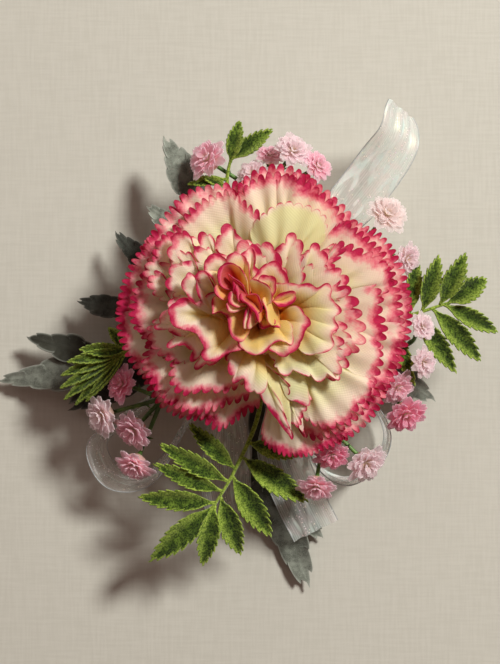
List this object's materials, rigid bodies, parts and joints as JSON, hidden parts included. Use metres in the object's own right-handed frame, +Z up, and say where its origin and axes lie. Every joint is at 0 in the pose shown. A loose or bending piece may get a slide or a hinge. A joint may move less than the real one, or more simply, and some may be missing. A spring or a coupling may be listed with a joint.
{
  "type": "carnation wrist corsage",
  "caption": "Wrist corsage of a cream and magenta fabric carnation with fern, dusty miller, pink filler florets, a sheer ribbon bow and an elastic band.",
  "frame": {"origin": "on the underside of the wristband, under the middle of the bloom", "axes": "+Z up out of the bloom, +Y towards the top of the picture, +X to its right"},
  "size_m": [0.1576, 0.1542, 0.0592],
  "materials": {
    "petal_fabric": "satin weave, cream with magenta pinked rims",
    "core_plastic": "moulded",
    "stem_green": "moulded",
    "stem_tape": "waxed crepe tape",
    "fern_flock": "flocked",
    "dusty_flock": "flocked",
    "floret_pink": "crinkled, slightly glossy",
    "ribbon_organza": "sheer, iridescent",
    "pad_felt": "felt",
    "band_elastic": "ribbed elastic"
  },
  "bodies": {
    "root": {"wristband": "band_elastic", "backing_pad": "pad_felt", "stem_bundle": "stem_tape", "calyx": "stem_green", "petal_core": "core_plastic", "dusty_leaf_bottom": "dusty_flock", "dusty_leaf_far_left": "dusty_flock", "dusty_leaf_left": "dusty_flock", "dusty_leaf_left_dark": "dusty_flock", "dusty_leaf_lower_left": "dusty_flock", "dusty_leaf_right": "dusty_flock", "dusty_leaf_upper_left": "dusty_flock", "dusty_leaf_upper_left_low": "dusty_flock", "fern_bottom": "fern_flock", "fern_left": "fern_flock", "fern_right": "fern_flock", "fern_top": "fern_flock", "floret_lower_left_1": "floret_pink", "floret_lower_left_2": "floret_pink", "floret_lower_left_3": "floret_pink", "floret_lower_left_4": "floret_pink", "floret_lower_right_1": "floret_pink", "floret_lower_right_2": "floret_pink", "floret_lower_right_3": "floret_pink", "floret_right_1": "floret_pink", "floret_right_2": "floret_pink", "floret_right_3": "floret_pink", "floret_right_4": "floret_pink", "floret_stem_lower_left": "stem_green", "floret_stem_lower_right": "stem_green", "floret_stem_right": "stem_green", "floret_stem_top": "stem_green", "floret_stem_upper_right": "stem_green", "floret_top_1": "floret_pink", "floret_top_2": "floret_pink", "floret_top_3": "floret_pink", "floret_top_4": "floret_pink", "floret_top_5": "floret_pink", "floret_upper_right_1": "floret_pink", "floret_upper_right_2": "floret_pink", "petal_heart": "petal_fabric", "petal_layer_1": "petal_fabric", "petal_layer_2": "petal_fabric", "petal_layer_3": "petal_fabric", "petal_layer_4": "petal_fabric", "petal_layer_5": "petal_fabric", "petal_layer_6": "petal_fabric", "petal_layer_7": "petal_fabric", "ribbon_bow": "ribbon_organza"}
  },
  "joints": []
}
